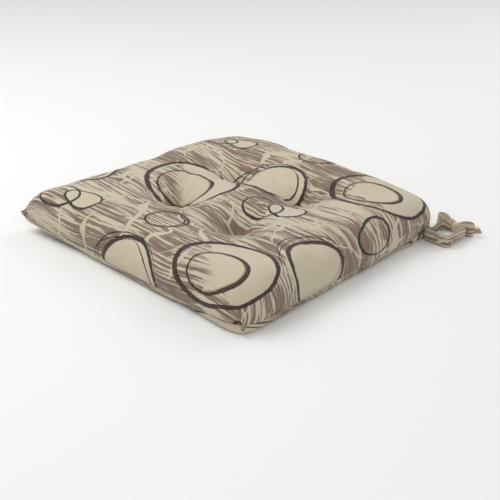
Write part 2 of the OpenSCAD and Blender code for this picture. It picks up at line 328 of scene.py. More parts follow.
def drawn(tree, place, shape):
    """The line and the inside of one loop."""
    moved = put(tree, "ShaderNodeVectorMath", {0: place, 1: (*shape["at"], 0)}, operation="SUBTRACT")
    inputs = {name: shape[name] for name in LOOP_INPUTS}
    node = put(tree, "ShaderNodeGroup", node_tree=LOOP, inputs={"Place": moved.outputs[0], **inputs})
    return node.outputs["Line"], node.outputs["Inside"]


def brush_marks(tree, place, dry):
    """How much of the taupe is at a place, and the bristle noise that its edges follow."""
    drift = calc(tree, "SUBTRACT", noisy(tree, place, DRIFT, 1.0, shift=7.0), 0.5)
    lift = put(tree, "ShaderNodeCombineXYZ", {1: calc(tree, "MULTIPLY", drift, LIFT_OF_DRIFT)})
    bent = put(tree, "ShaderNodeVectorMath", {0: place, 1: lift.outputs[0]}, operation="ADD").outputs[0]
    full = noisy(tree, place, FULLNESS, 1.0, shift=3.0)
    stroke = noisy(tree, bent, STROKE, 1.0, 0.5)
    bristle = noisy(tree, bent, BRISTLE, 2.0, 0.6, shift=11.0)
    broken = noisy(tree, bent, BROKEN, 2.0, 0.6, shift=31.0)
    wet = calc(tree, "MULTIPLY_ADD", calc(tree, "SUBTRACT", full, 0.5), 0.6, stroke)
    wet = calc(tree, "MULTIPLY_ADD", calc(tree, "SUBTRACT", bristle, 0.5), 0.40, wet)
    wet = calc(tree, "MULTIPLY_ADD", calc(tree, "SUBTRACT", broken, 0.5), 0.22, wet)
    wobble = put(tree, "ShaderNodeTexNoise", {"Vector": place, "Scale": 0.02, "Detail": 1.0}).outputs["Color"]
    wobble = put(tree, "ShaderNodeVectorMath", {0: wobble, 3: 60.0}, operation="SCALE").outputs[0]
    strayed = put(tree, "ShaderNodeVectorMath", {0: place, 1: wobble}, operation="ADD").outputs[0]
    cells = put(tree, "ShaderNodeMapping", {"Vector": strayed,
                "Scale": (1 / VEIN_CELL[0], 1 / VEIN_CELL[1], 1 / VEIN_CELL[0])})
    fork = put(tree, "ShaderNodeTexVoronoi", {"Vector": cells.outputs[0], "Scale": 1.0},
               voronoi_dimensions="2D", feature="DISTANCE_TO_EDGE").outputs["Distance"]
    wide = calc(tree, "SUBTRACT", noisy(tree, place, (70, 50), 1.0, shift=53.0), 0.44)
    swell = calc(tree, "MULTIPLY", wide, 0.34)
    bare = step_up(tree, calc(tree, "SUBTRACT", fork, swell), 0.0, 0.008)
    marks = calc(tree, "MULTIPLY", step_up(tree, wet, WET[0] + dry, WET[1] + dry), bare)
    return marks, bristle


def weave_height(tree, place, pitch):
    """Plain weave: threads over and under each other, at a pitch in mm."""
    axes = put(tree, "ShaderNodeSeparateXYZ", {0: place})
    wave = [calc(tree, "SINE", calc(tree, "MULTIPLY", axes.outputs[i], math.pi / pitch)) for i in (0, 1)]
    return calc(tree, "ABSOLUTE", calc(tree, "MULTIPLY", wave[0], wave[1]))


def printed_cotton(name, motifs=True, dry=0.0):
    """The cover's cotton, drawn on the cloth's own coordinates. A dry brush leaves less taupe."""
    finish = bpy.data.materials.new(name)
    finish.use_nodes = True
    tree = finish.node_tree
    shader = tree.nodes["Principled BSDF"]
    cloth = put(tree, "ShaderNodeAttribute", attribute_name="cloth").outputs["Vector"]
    place = put(tree, "ShaderNodeVectorMath", {0: cloth, 3: 1000.0}, operation="SCALE").outputs[0]
    tremble = put(tree, "ShaderNodeTexNoise", {"Vector": place, "Scale": 0.11, "Detail": 1.0})
    shake = put(tree, "ShaderNodeVectorMath", {0: tremble.outputs["Color"], 1: (0.5, 0.5, 0.5)},
                operation="SUBTRACT").outputs[0]
    shake = put(tree, "ShaderNodeVectorMath", {0: shake, 3: TREMBLE}, operation="SCALE").outputs[0]
    penned = put(tree, "ShaderNodeVectorMath", {0: place, 1: shake}, operation="ADD").outputs[0]

    marks, bristle = brush_marks(tree, place, dry)
    ground = mixed(tree, noisy(tree, place, (60, 60), 2.0), (*CREAM, 1), (*CREAM_PALE, 1))
    taupe = mixed(tree, step_up(tree, bristle, 0.4, 0.65), (*TAUPE_PALE, 1), (*TAUPE, 1))
    if motifs:
        rings = motif(tree, penned, BIG_RINGS)
        outer, outer_in = drawn(tree, rings, BIG_OUTER)
        outer_2, _ = drawn(tree, rings, BIG_OUTER_2)
        inner, inner_in = drawn(tree, rings, BIG_INNER)
        tan, _ = drawn(tree, rings, BIG_TAN)
        arch_at = motif(tree, penned, ARCH, drop=LONG_DROP)
        arch, arch_in = drawn(tree, arch_at, ARCH_MAIN)
        flower_at = motif(tree, penned, FLOWER, drop=LONG_DROP)
        pebble_at = motif(tree, penned, PEBBLE, 2 * REPEAT_X, 0.0)
        dark_at = motif(tree, penned, DARK_PEBBLE, 2 * REPEAT_X, 0.0)
        leaf, leaf_in = drawn(tree, flower_at, FLOWER_LEAF)
        black = [leaf, drawn(tree, flower_at, FLOWER_ROUND)[0]]
        # Bare cloth: all of the arch, and the upper right of the big rings.
        axes = put(tree, "ShaderNodeSeparateXYZ", {0: rings})
        slant = calc(tree, "ADD", axes.outputs[0], calc(tree, "MULTIPLY", axes.outputs[1], 1.3))
        upper_right = step_up(tree, slant, -14, -4)
        inner_up = step_up(tree, calc(tree, "MULTIPLY_ADD", axes.outputs[1], 1.2, axes.outputs[0]), -40, -14)
        bare = calc(tree, "MAXIMUM", arch_in, calc(tree, "MULTIPLY", outer_in, upper_right))
        bare = calc(tree, "MAXIMUM", bare, calc(tree, "MULTIPLY", inner_in, inner_up))
        bare = calc(tree, "MAXIMUM", bare, leaf_in)
        marks = calc(tree, "MULTIPLY", marks, calc(tree, "SUBTRACT", 1.0, bare))
        brown = [outer, outer_2, inner, arch]
        brown += [drawn(tree, arch_at, shape)[0] for shape in (ARCH_SECOND, ARCH_THIRD)]
        brown += [drawn(tree, pebble_at, shape)[0] for shape in PEBBLE_LOOPS]
        black += [drawn(tree, arch_at, shape)[0] for shape in ARCH_SKETCH]
        black += [drawn(tree, dark_at, shape)[0] for shape in DARK_LOOPS]
    colour = mixed(tree, marks, ground, taupe)
    if motifs:
        colour = mixed(tree, calc(tree, "MULTIPLY", tan, 0.8), colour, (*TAN, 1))
        for lines, ink in ((brown, BROWN), (black, BLACK)):
            total = lines[0]
            for line in lines[1:]:
                total = calc(tree, "MAXIMUM", total, line)
            colour = mixed(tree, calc(tree, "MULTIPLY", total, 0.97), colour, (*ink, 1))
    worn = step_up(tree, noisy(tree, place, (3, 3), 3.0, 0.6), 0.35, 0.75)
    colour = mixed(tree, calc(tree, "MULTIPLY", worn, 0.08), colour, (*WORN, 1))
    tree.links.new(colour, shader.inputs["Base Color"])

    slub = noisy(tree, place, (0.9, 0.9), 2.0)
    weave = calc(tree, "MULTIPLY_ADD", slub, 0.6, weave_height(tree, place, THREAD_PITCH))
    bump = put(tree, "ShaderNodeBump", {"Height": weave, "Strength": 0.35, "Distance": 0.0002})
    tree.links.new(bump.outputs[0], shader.inputs["Normal"])
    rough = calc(tree, "MULTIPLY_ADD", noisy(tree, place, (8, 8)), 0.12, 0.8)
    tree.links.new(rough, shader.inputs["Roughness"])
    shader.inputs["Sheen Weight"].default_value = 0.12
    shader.inputs["Sheen Roughness"].default_value = 0.5
    shader.inputs["Specular IOR Level"].default_value = 0.25
    return finish


COTTON = printed_cotton("printed cotton")
print("cotton nodes:", len(COTTON.node_tree.nodes))

# %% [markdown]
# ## The stuffed cover
# Two square panels are sewn together, turned and filled. The filling pushes the sides out into a
# blunt bulge, the weight flattens the underside, and the corners stand out as small ears. The
# mesh is a grid for each panel that shares the seam. Each grid point knows its place in the flat
# cloth, which the print follows. A cloth simulation then lets the panels swell between the seam
# and the tufts. They are cut a little larger than they need, so creases run from each tuft.

# %% Sizes of the cover
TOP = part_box("top_panel")
HALF_W, HALF_D, CROWN = TOP[1]
TUFTS = [((box[0][0] + box[1][0]) / 2, (box[0][1] + box[1][1]) / 2)
         for box in (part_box(f"tuft_twine_{name}") for name in
                     ("front_left", "front_right", "rear_left", "rear_right"))]
CELLS = 96
BULGE = 9 * MM                       # how far the sides bulge past the flat size
BULGE_Z = 22 * MM                    # height of the widest place
ROLL = 42 * MM                       # how far the shoulder rolls in
BLUNT = 0.86                         # under 1 is blunter than an ellipse
SEAM_OUT = 6 * MM                    # the stuffed seam stands out a little from its flat size
SEAM_Z = (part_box("edge_seam_thread")[0][2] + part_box("edge_seam_thread")[1][2]) / 2
LOW_ROLL = 12 * MM                   # width of the roll under the pad
LOW_BLUNT = 0.6
TUFT_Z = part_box("tuft_twine_front_left")[1][2] - 3 * MM
LOW_TUFT_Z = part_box("tuft_twine_front_left")[0][2] + 4.4 * MM
# Each corner's radius in plan, how far its ear's tip stands out along X, Y and Z, how widely the
# ear spreads, how full the stuffing is there (under 1 is fuller), and how much lower it lies.
CORNERS = {(-1, -1): (8, (24, 13, 20), 2.8, 0.72, 3), (1, -1): (42, (10, 10, -2), 9, 0.85, 0),
           (1, 1): (34, (3, 3, 0), 10, 0.9, 5), (-1, 1): (40, (8, 8, 0), 10, 1, 12)}
print("tufts at", [(round(x / MM), round(y / MM)) for x, y in TUFTS])
DROOP_REACH = 130 * MM               # how far from its corner the lower stuffing begins


def panel_profile(half, top):
    """Distance along the cloth, distance out and height, from the middle to the seam."""
    turn = np.linspace(0, math.pi / 2, 40)
    seam = half + SEAM_OUT
    if top:
        wide = half + BULGE
        out = np.concatenate([wide - ROLL + ROLL * np.sin(turn) ** BLUNT,
                              seam + (BULGE - SEAM_OUT) * np.cos(turn[1:])])
        high = np.concatenate([BULGE_Z + (CROWN - BULGE_Z) * np.cos(turn) ** BLUNT,
                               BULGE_Z - (BULGE_Z - SEAM_Z) * np.sin(turn[1:])])
    else:
        out = seam - LOW_ROLL + LOW_ROLL * np.sin(turn) ** LOW_BLUNT
        high = SEAM_Z - SEAM_Z * np.cos(turn) ** LOW_BLUNT
    out = np.concatenate([[0], out])
    high = np.concatenate([[high[0]], high])
    along = np.concatenate([[0], np.cumsum(np.hypot(np.diff(out), np.diff(high)))])
    return along, out, high


def shape_corner(grid, cloth, share, side, radius, droop, ear):
    """Rounds one corner in plan and in its cut, lowers its stuffing, and draws its ear out."""
    here = (grid[..., 0] * side[0] > 0) & (grid[..., 1] * side[1] > 0)
    half = np.array([HALF_W, HALF_D])
    over = np.maximum(np.abs(grid[..., :2]) - (half - radius * MM), 0)
    # A square's corner becomes a quarter disc without a fold along its diagonal.
    drawn_in = 1 - np.sqrt(1 - (over[..., ::-1] / (radius * MM + BULGE)) ** 2 / 2)
    drawn_in = np.where(here[..., None], drawn_in, 0)
    near = np.clip(1 - np.linalg.norm(np.abs(grid[..., :2]) - half, axis=-1) / DROOP_REACH, 0, 1)
    grid[..., 2] *= np.where(here, 1 - near ** 2 * (3 - 2 * near) * droop * MM / CROWN, 1)
    grid[..., :2] -= np.array(side) * over * drawn_in
    cloth[..., :2] -= np.array(side) * over * drawn_in
    for axis, reach in enumerate((side[0] * ear[0], side[1] * ear[1], ear[2])):
        grid[..., axis] += np.where(here, share * reach * MM, 0)


def denser(spots):
    """Moves evenly spaced grid lines closer together where the tufts' creases are."""
    fine = np.linspace(-1, 1, 2001)
    crowd = 1 + 1.4 * np.exp(-((np.abs(fine) - 0.25) / 0.13) ** 2)
    total = np.concatenate([[0], np.cumsum((crowd[1:] + crowd[:-1]) / 2)])
    return np.interp((spots + 1) / 2 * total[-1], total, fine)


def panel(cells, top):
    """Grid points of a panel without its tufts, their places in the cloth, and how far inside its cut."""
    spots = denser(np.linspace(-1, 1, cells + 1))
    sides = []
    for half in (HALF_W, HALF_D):
        along, out, high = panel_profile(half, top)
        reach = np.abs(spots) * along[-1]
        sides.append((np.sign(spots) * reach, np.sign(spots) * np.interp(reach, along, out),
                      (np.interp(reach, along, high) - SEAM_Z) / (high[0] - SEAM_Z)))
    (cloth_x, x, rise_x), (cloth_y, y, rise_y) = sides
    cloth = np.stack(np.meshgrid(cloth_x, cloth_y, indexing="ij") + [np.zeros((cells + 1,) * 2)], -1)
    cloth[..., 2] = along[-1] - np.abs(cloth).max(-1)
    rise = np.outer(rise_x, rise_y)
    plan = np.stack(np.meshgrid(x, y, indexing="ij"), -1)
    reach = np.outer(np.abs(spots), np.abs(spots))
    for side, (_, _, _, fullness, _) in CORNERS.items():
        near = np.clip((plan[..., 0] * side[0] / HALF_W + plan[..., 1] * side[1] / HALF_D) - 1, 0, 1)
        rise = rise ** (1 - near * (1 - fullness))
    base = CROWN if top else 0.0
    grid = np.concatenate([plan, (SEAM_Z + (base - SEAM_Z) * rise)[..., None]], -1)
    for side, (radius, ear, spread, _, droop) in CORNERS.items():
        shape_corner(grid, cloth, reach ** spread, side, radius, droop, ear)
    return grid, cloth


def dimples(grid, depth, spread):
    """How far each point is drawn in by the tufts."""
    total = np.zeros(grid.shape[:2])
    for x, y in TUFTS:
        away = np.hypot(grid[..., 0] - x, grid[..., 1] - y)
        total = np.maximum(total, np.exp(-np.maximum(away - 3 * MM, 0) / spread))
    return total * depth


# %% Build the bag
def bag(cells):
    """The two panels as one closed mesh that shares its seam, with the cloth's uncut rest shape."""
    n = cells + 1
    top, top_cloth = panel(cells, True)
    low, low_cloth = panel(cells, False)
    edge = np.zeros((n, n), bool)
    edge[0], edge[-1], edge[:, 0], edge[:, -1] = True, True, True, True
    top_index = np.arange(n * n).reshape(n, n)
    low_index = np.where(edge, top_index, -1)
    low_index[~edge] = n * n + np.arange((~edge).sum())
    faces = []
    for index, step in ((top_index, 1), (low_index, -1)):
        for i in range(cells):
            for j in range(cells):
                ring = (index[i, j], index[i + 1, j], index[i + 1, j + 1], index[i, j + 1])
                faces.append(ring[::step])
    rest = np.concatenate([top.reshape(-1, 3), low[~edge]])
    shaped_top, shaped_low = top.copy(), low.copy()
    shaped_top[..., 2] -= dimples(top, CROWN - TUFT_Z, 24 * MM)
    shaped_low[..., 2] += dimples(low, LOW_TUFT_Z, 12 * MM)
    shaped = np.concatenate([shaped_top.reshape(-1, 3), shaped_low[~edge]])
    return rest, shaped, faces, top_index, low_index, top_cloth, low_cloth, edge


rest, shaped, faces, top_index, low_index, top_cloth, low_cloth, edge = bag(CELLS)
print("bag:", len(rest), "points,", len(faces), "faces")


# %% Swell the cover
FRAMES = 30                          # the solver's steps
HELD = 5 * MM                        # the tufts hold the cloth this far round them
SLACK_REACH = 60 * MM                # the spare cloth is within about this far of a tuft
CAP = 3 * MM                         # how far the solver may move a point


def swollen(rest, shaped, faces, frames):
    """The bag after its cloth has swelled between the seam and the tufts."""
    mesh = bpy.data.meshes.new("bag")
    mesh.from_pydata(shaped.tolist(), [], faces)
    pad = bpy.data.objects.new("bag", mesh)
    bpy.context.scene.collection.objects.link(pad)
    pad.shape_key_add(name="start")
    cut = pad.shape_key_add(name="cut")
    cut.data.foreach_set("co", rest.ravel())
    held = pad.vertex_groups.new(name="held")
    n = CELLS + 1
    seam = np.unique(top_index[edge])
    held.add([int(i) for i in seam], 1.0, "REPLACE")
    tufted = [i for i in range(len(rest)) for x, y in TUFTS
              if math.hypot(rest[i][0] - x, rest[i][1] - y) < HELD]
    held.add(tufted, 1.0, "REPLACE")
    slack = pad.vertex_groups.new(name="slack")
    for i in range(n * n):
        near = min(math.hypot(rest[i][0] - x, rest[i][1] - y) for x, y in TUFTS)
        slack.add([i], float(np.clip(math.exp(-((near / SLACK_REACH) ** 2)), 0, 1)), "REPLACE")
    cloth = pad.modifiers.new("cloth", "CLOTH")
    s = cloth.settings
    s.rest_shape_key = cut
    s.quality = 7
    s.mass = 0.25
    s.tension_stiffness = s.compression_stiffness = 25
    s.shear_stiffness = 8
    s.bending_stiffness = 0.05
    s.tension_damping = s.compression_damping = 8
    s.shear_damping = 5
    s.air_damping = 3
    s.vertex_group_mass = "held"
    s.vertex_group_shrink = "slack"
    s.shrink_min = -0.015
    s.shrink_max = -0.07
    s.use_pressure = True
    s.uniform_pressure_force = 3.0
    s.effector_weights.gravity = 0
    cloth.collision_settings.use_collision = False
    cloth.point_cache.frame_start = 1
    cloth.point_cache.frame_end = frames
    for f in range(1, frames + 1):
        bpy.context.scene.frame_set(f)
    done = pad.evaluated_get(bpy.context.evaluated_depsgraph_get())
    points = np.zeros(len(rest) * 3)
    done.data.vertices.foreach_get("co", points)
    bpy.context.scene.frame_set(1)
    bpy.data.objects.remove(pad)
    return points.reshape(-1, 3)


points = swollen(rest, shaped, faces, FRAMES)
moved = np.linalg.norm(points - shaped, axis=1)
print(f"the cloth moved up to {moved.max() / MM:.1f} mm, eased to {CAP / MM:.0f} mm")
points = shaped + (points - shaped) * (CAP * np.tanh(moved / CAP) / np.maximum(moved, 1e-9))[:, None]

# %% [markdown]
# A real cover is pressed in where the ties run round its rear corners, its seam lies in a small
# groove, and its cloth has creases that run out from each tuft and each corner. The solver's grid
# is too coarse for the creases, so the panels are subdivided once and each crease is pressed in
# along the cloth's normals. A crease is a ray in the flat cloth with a length, a width and a depth.

# %% Press the ties in and sink the seam
SEAM_GROOVE = 1.4 * MM
FLOOR_GAP = 0.4 * MM                 # the underside's lowest point above the floor
TIE_SIDE = HALF_W + 1.9 * MM         # the pad's side may reach this far beside the ties


def pressed(points):
    """Points of the bag with the rear corners held in by the ties and the seam in its groove."""
    points = points.copy()
    for axis, other, start in ((0, 1, 168 * MM), (1, 0, 150 * MM)):
        beside = np.abs(points[:, other]) if axis else points[:, other]
        slack = np.maximum(start - beside, 0) * 0.25 + np.maximum(points[:, 2] - 24 * MM, 0) * 0.7
        limit = TIE_SIDE + slack
        if axis:
            points[:, 1] = np.minimum(points[:, 1], limit)
        else:
            points[:, 0] = np.clip(points[:, 0], -limit, limit)
    seam = np.unique(top_index[edge])
    plan = points[seam, :2]
    points[seam, :2] = plan - SEAM_GROOVE * plan / np.abs(plan).max(-1)[:, None]
    points[:, 2] = np.maximum(points[:, 2], FLOOR_GAP)
    return points


points = pressed(points)
print("pad now spans", np.round(points.min(0) / MM), "to", np.round(points.max(0) / MM))


# %% Creases
CREASE_START, CREASE_FULL = 2 * MM, 7 * MM     # where a crease begins, and over what length it deepens
RIPPLE = 2.4 * MM                    # a pucker and its gap beside the seam are 2 pi times this
PUCKER_DEPTH, LUMP_DEPTH = 0.7 * MM, 0.6 * MM
CREASE_SPREAD = 0.06                 # how much wider a crease grows for each mm along it
DEEPEST = 4 * MM                     # creases that cross go no deeper than this


def rays(seed, centre, turns, lengths, widths, depths):
    """Creases that run out from a centre, each a little different from the next."""
    draw = np.random.default_rng(seed)
    count = len(turns)
    gap = turns[1] - turns[0]
    return [(centre, *row) for row in zip(turns + draw.uniform(-0.35, 0.35, count) * gap,
            draw.uniform(*lengths, count) * MM, draw.uniform(*widths, count) * MM,
            draw.uniform(*depths, count) * MM)]


def crease_depth(cloth, creases):
    """How deep the creases are at each place in the flat cloth."""
    total = np.zeros(len(cloth))
    for centre, turn, length, width, depth in creases:
        x, y = cloth[:, 0] - centre[0], cloth[:, 1] - centre[1]
        ahead = x * math.cos(turn) + y * math.sin(turn)
        aside = y * math.cos(turn) - x * math.sin(turn)
        start = np.clip((ahead - CREASE_START) / CREASE_FULL, 0, 1)
        fade = np.exp(-(np.maximum(ahead - CREASE_FULL, 0) / length) ** 1.5)
        spread = width + CREASE_SPREAD * np.maximum(ahead, 0)
        total += depth * start * fade * np.exp(-(aside / spread) ** 2)
    return DEEPEST * np.tanh(total / DEEPEST)


def seam_puckers(cloth, inside):
    """Small ripples beside the seam, where the thread draws the cloth up."""
    along = np.abs(cloth[:, :2]).min(-1) * np.sign(cloth[:, 0] + 2 * cloth[:, 1])
    ripple = np.sin(along / RIPPLE + 1.7 * np.sin(along / (23 * MM)))
    uneven = 0.6 + 0.4 * np.sin(along / (41 * MM) + 1.0)
    near = np.exp(-inside / (9 * MM)) * np.clip(inside / (4 * MM), 0, 1)
    return PUCKER_DEPTH * ripple * uneven * near


def lumps(cloth):
    """The filling's slow unevenness under the cloth."""
    x, y = cloth[:, 0], cloth[:, 1]
    return LUMP_DEPTH * (np.sin(x / (17 * MM) + 2 * np.sin(y / (39 * MM)))
                         + np.sin(y / (13 * MM) + 2 * np.sin(x / (31 * MM)) + 0.8))


# Each kind of crease has its directions, then the ranges of its length, width and depth in mm.
TUFT_TURNS = np.arange(11) * 2 * math.pi / 11
TUFT_CREASE = ((24, 56), (1.7, 3.2), (2.4, 4.8))
CORNER_TURNS = np.linspace(0.12, 0.88, 5) * math.pi / 2
CORNER_CREASE = ((10, 24), (1.8, 3), (0.5, 1.4))
UNDERSIDE_SHARE = 0.4                # creases are shallower where the pad rests


# %% Cut the cover into its panels
PIT = 4 * MM                         # a tuft's twine holds the cloth down this far round it
PIT_SLOPE = 1.4


def cover_piece(name, index, cloth, shift, face_up):
    """One panel of the cover as its own object, subdivided, with its creases."""
    n = CELLS + 1
    local = np.arange(n * n).reshape(n, n)
    turn = 1 if face_up else -1
    faces = [(local[i, j], local[i + 1, j], local[i + 1, j + 1], local[i, j + 1])[::turn]
             for i in range(CELLS) for j in range(CELLS)]
    mesh = bpy.data.meshes.new(name)
    mesh.from_pydata(points[index.ravel()].tolist(), [], faces)
    mesh.attributes.new("cloth", "FLOAT_VECTOR", "POINT").data.foreach_set("vector", cloth.ravel())
    coarse = bpy.data.objects.new("coarse", mesh)
    bpy.context.scene.collection.objects.link(coarse)
    coarse.modifiers.new("smooth", "SUBSURF").levels = 1
    smooth = coarse.evaluated_get(bpy.context.evaluated_depsgraph_get())
    mesh = bpy.data.meshes.new_from_object(smooth)
    bpy.data.objects.remove(coarse)
    mesh.name = name

    size = len(mesh.vertices)
    place, normal, spot = (np.zeros(size * 3) for _ in range(3))
    mesh.vertices.foreach_get("co", place)
    mesh.vertex_normals.foreach_get("vector", normal)
    mesh.attributes["cloth"].data.foreach_get("vector", spot)
    place, normal, spot = (a.reshape(-1, 3) for a in (place, normal, spot))
    inside = spot[:, 2].copy()
    spot[:, 2] = 0
    creases = []
    for number, centre in enumerate(TUFTS):
        creases += rays(number + 3, centre, TUFT_TURNS, *TUFT_CREASE)
    for number, (side_x, side_y) in enumerate(CORNERS):
        turns = np.arctan2(-side_y * np.sin(CORNER_TURNS), -side_x * np.cos(CORNER_TURNS))
        tip = cloth[-(side_x > 0), -(side_y > 0)]
        creases += rays(number + 20, tip, turns, *CORNER_CREASE)
    share = 1.0 if face_up else UNDERSIDE_SHARE
    drop = share * (crease_depth(spot, creases) + lumps(spot)) + seam_puckers(spot, inside)
    drop *= np.clip(inside / (5 * MM), 0, 1)
    place = place - normal * drop[:, None]
    for x, y in TUFTS:
        away = np.hypot(place[:, 0] - x, place[:, 1] - y)
        pit = PIT_SLOPE * np.maximum(away - PIT, 0)
        if face_up:
            place[:, 2] = np.minimum(place[:, 2], TUFT_Z + pit)
        else:
            place[:, 2] = np.maximum(place[:, 2], LOW_TUFT_Z - pit)
    place[:, 2] = np.maximum(place[:, 2], 0.3 * MM)
    mesh.vertices.foreach_set("co", place.ravel())
    mesh.attributes["cloth"].data.foreach_set("vector", (spot + shift).ravel())
    mesh.polygons.foreach_set("use_smooth", [True] * len(mesh.polygons))
    mesh.materials.clear()
    mesh.materials.append(COTTON)
    piece = bpy.data.objects.new(name, mesh)
    bpy.context.scene.collection.objects.link(piece)
    return piece


UNDERSIDE_SHIFT = np.array([50, 120, 0]) * MM    # the underside is cut from another place in the print
cover_top = cover_piece("cover_top", top_index, top_cloth, np.zeros(3), True)
cover_low = cover_piece("cover_underside", low_index, low_cloth, UNDERSIDE_SHIFT, False)
for piece, node in ((cover_top, "top_panel"), (cover_low, "bottom_panel")):
    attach(piece, "pad")
    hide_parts(node)
    print(piece.name, len(piece.data.polygons), "faces")

# %% [markdown]
# ## The filling
# A block of bonded fibre fills the cover. It is never seen, but a pad that is taken apart has it,
# so it is a closed block that follows the cover a few millimetres inside, without the ears.


# %% The filling
FILLING_DEPTH = 7 * MM               # the filling's skin lies this far inside the cover
FILLING_CUT = 50 * MM                # how much of each corner it lacks


def filling(depth, cut_in):
    """A closed block of fibre inside the cover, with its corners cut off."""
    mesh = bpy.data.meshes.new("fibre_filling")
    mesh.from_pydata(points.tolist(), [], faces)
    normals = np.zeros(len(points) * 3)
    mesh.vertex_normals.foreach_get("vector", normals)
    inner = points - depth * normals.reshape(-1, 3)
    limit = np.array([HALF_W, HALF_D]) - 6 * MM
    inner[:, :2] = np.clip(inner[:, :2], -limit, limit)
    excess = np.maximum(np.abs(inner[:, :2]).sum(-1) - (HALF_W + HALF_D - cut_in), 0) / 2
    inner[:, :2] -= np.sign(inner[:, :2]) * excess[:, None]
    mesh.vertices.foreach_set("co", inner.ravel())
    mesh.polygons.foreach_set("use_smooth", [True] * len(mesh.polygons))
    block = bpy.data.objects.new("fibre_filling", mesh)
    block.data.materials.append(FIBRE)
    bpy.context.scene.collection.objects.link(block)
    return block


def fibrous(name, colour, pale, grain, roughness, bump_size):
    """A finish of fine fibres between two colours, with a matching bump."""
    finish = plain_finish(name, colour, roughness)
    tree = finish.node_tree
    shader = tree.nodes["Principled BSDF"]
    here = put(tree, "ShaderNodeTexCoord").outputs["Object"]
    place = put(tree, "ShaderNodeVectorMath", {0: here, 3: 1000.0}, operation="SCALE").outputs[0]
    fibres = noisy(tree, place, grain, 4.0, 0.65)
    tree.links.new(mixed(tree, step_up(tree, fibres, 0.3, 0.7), (*colour, 1), (*pale, 1)),
                   shader.inputs["Base Color"])
    bump = put(tree, "ShaderNodeBump", {"Height": fibres, "Strength": 0.6, "Distance": bump_size})
    tree.links.new(bump.outputs[0], shader.inputs["Normal"])
    shader.inputs["Sheen Weight"].default_value = 0.3
    return finish


FIBRE = fibrous("bonded fibre", (0.72, 0.72, 0.69), (0.86, 0.86, 0.84), (3.0, 1.0), 0.9, 0.001)
THREAD = fibrous("cotton thread", (0.52, 0.45, 0.33), (0.68, 0.61, 0.47), (0.5, 0.5), 0.7, 0.0001)
TWINE = fibrous("tufting twine", (0.55, 0.48, 0.36), (0.72, 0.65, 0.52), (0.4, 0.4), 0.75, 0.0001)
SATIN = fibrous("label satin", (0.80, 0.79, 0.76), (0.86, 0.85, 0.83), (0.25, 8.0), 0.35, 0.00005)

fibre = filling(FILLING_DEPTH, FILLING_CUT)
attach(fibre, "pad")
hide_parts("fibre_block")

# %% [markdown]
# ## Swept pieces
# Twine and tape are both a section carried along a line. For twine the section is a small circle,
# and two such strands wind round each other. For tape it is a flat oval, which stands on its edge
# or lies flat as it twists. One helper joins rings of points into a closed skin for both.


# %% Helpers for swept pieces
def closed_skin(rings, first=0):
    """Faces that join rings of points into a tube with both ends closed."""
    count, sides = rings.shape[:2]
    at = first + np.arange(count * sides).reshape(count, sides)
    walls = [(at[i, j], at[i, (j + 1) % sides], at[i + 1, (j + 1) % sides], at[i + 1, j])
             for i in range(count - 1) for j in range(sides)]
    return walls + [tuple(at[0, ::-1]), tuple(at[-1])]


def smooth_rows(rows, step):
    """Rows of numbers on a smooth curve through the given rows, about a step apart in space."""
    rows = np.array(rows, float)
    padded = np.vstack([2 * rows[0] - rows[1], rows, 2 * rows[-1] - rows[-2]])
    done = []
    for a, b, c, d in zip(padded, padded[1:], padded[2:], padded[3:]):
        count = max(2, math.ceil(np.linalg.norm(c[:2] - b[:2]) / step))
        t = np.arange(count)[:, None] / count
        done.append(b + t * (c - a) / 2 + t ** 2 * (2 * a - 5 * b + 4 * c - d) / 2
                    + t ** 3 * (3 * b - a - 3 * c + d) / 2)
    return np.vstack(done + [rows[-1:]])


def square_frame(line, up):
    """Two directions square to a line at each of its points, the first nearest to up."""
    along = np.gradient(line, axis=0)
    along /= np.linalg.norm(along, axis=1)[:, None]
    first = up - along * (up * along).sum(1)[:, None]
    first /= np.linalg.norm(first, axis=1)[:, None]
    return first, np.cross(along, first)


def new_piece(name, points, faces, finish, cloth=None):
    """An object from points and faces, smooth, with an optional place in the cloth."""
    mesh = bpy.data.meshes.new(name)
    mesh.from_pydata([tuple(p) for p in points], [], [tuple(int(i) for i in f) for f in faces])
    if cloth is not None:
        mesh.attributes.new("cloth", "FLOAT_VECTOR", "POINT").data.foreach_set("vector", cloth.ravel())
    mesh.polygons.foreach_set("use_smooth", [True] * len(mesh.polygons))
    build = bmesh.new()
    build.from_mesh(mesh)
    bmesh.ops.recalc_face_normals(build, faces=build.faces)
    build.to_mesh(mesh)
    build.free()
    mesh.materials.append(finish)
    piece = bpy.data.objects.new(name, mesh)
    bpy.context.scene.collection.objects.link(piece)
    return piece


# %% [markdown]
# ## The tufting stitches
# Each tuft is one length of twine: down through the pad, back up beside itself, and knotted under
# the pad. On the top only a short bar of it shows at the bottom of the dimple. The twine is two
# plies wound together, so it is swept as two strands, and the knot is a trefoil knot.

# %% Twine
TWINE_R = 0.36 * MM                  # one ply
LAY = 2.6 * MM                       # length of one turn of the plies
CLEAR = 0.9 * MM                     # the twine's centre line lies this far off the cloth
NEEDLE = 3 * MM                      # half the distance between a tuft's two needle holes


def strand(line, radius, offset=0.0, turn=0.0, sides=6):
    """Rings of a strand that winds round a line at an offset."""
    up = np.tile([0.0, 1.0, 0.0], (len(line), 1))
    first, second = square_frame(line, up)
    travelled = np.concatenate([[0], np.cumsum(np.linalg.norm(np.diff(line, axis=0), axis=1))])
    wound = (turn + travelled * 2 * math.pi / LAY)[:, None]
    centre = line + offset * (np.cos(wound) * first + np.sin(wound) * second)
    ring = np.arange(sides) * 2 * math.pi / sides
    return (centre[:, None] + radius * (np.cos(ring)[None, :, None] * first[:, None]
            + np.sin(ring)[None, :, None] * second[:, None]))


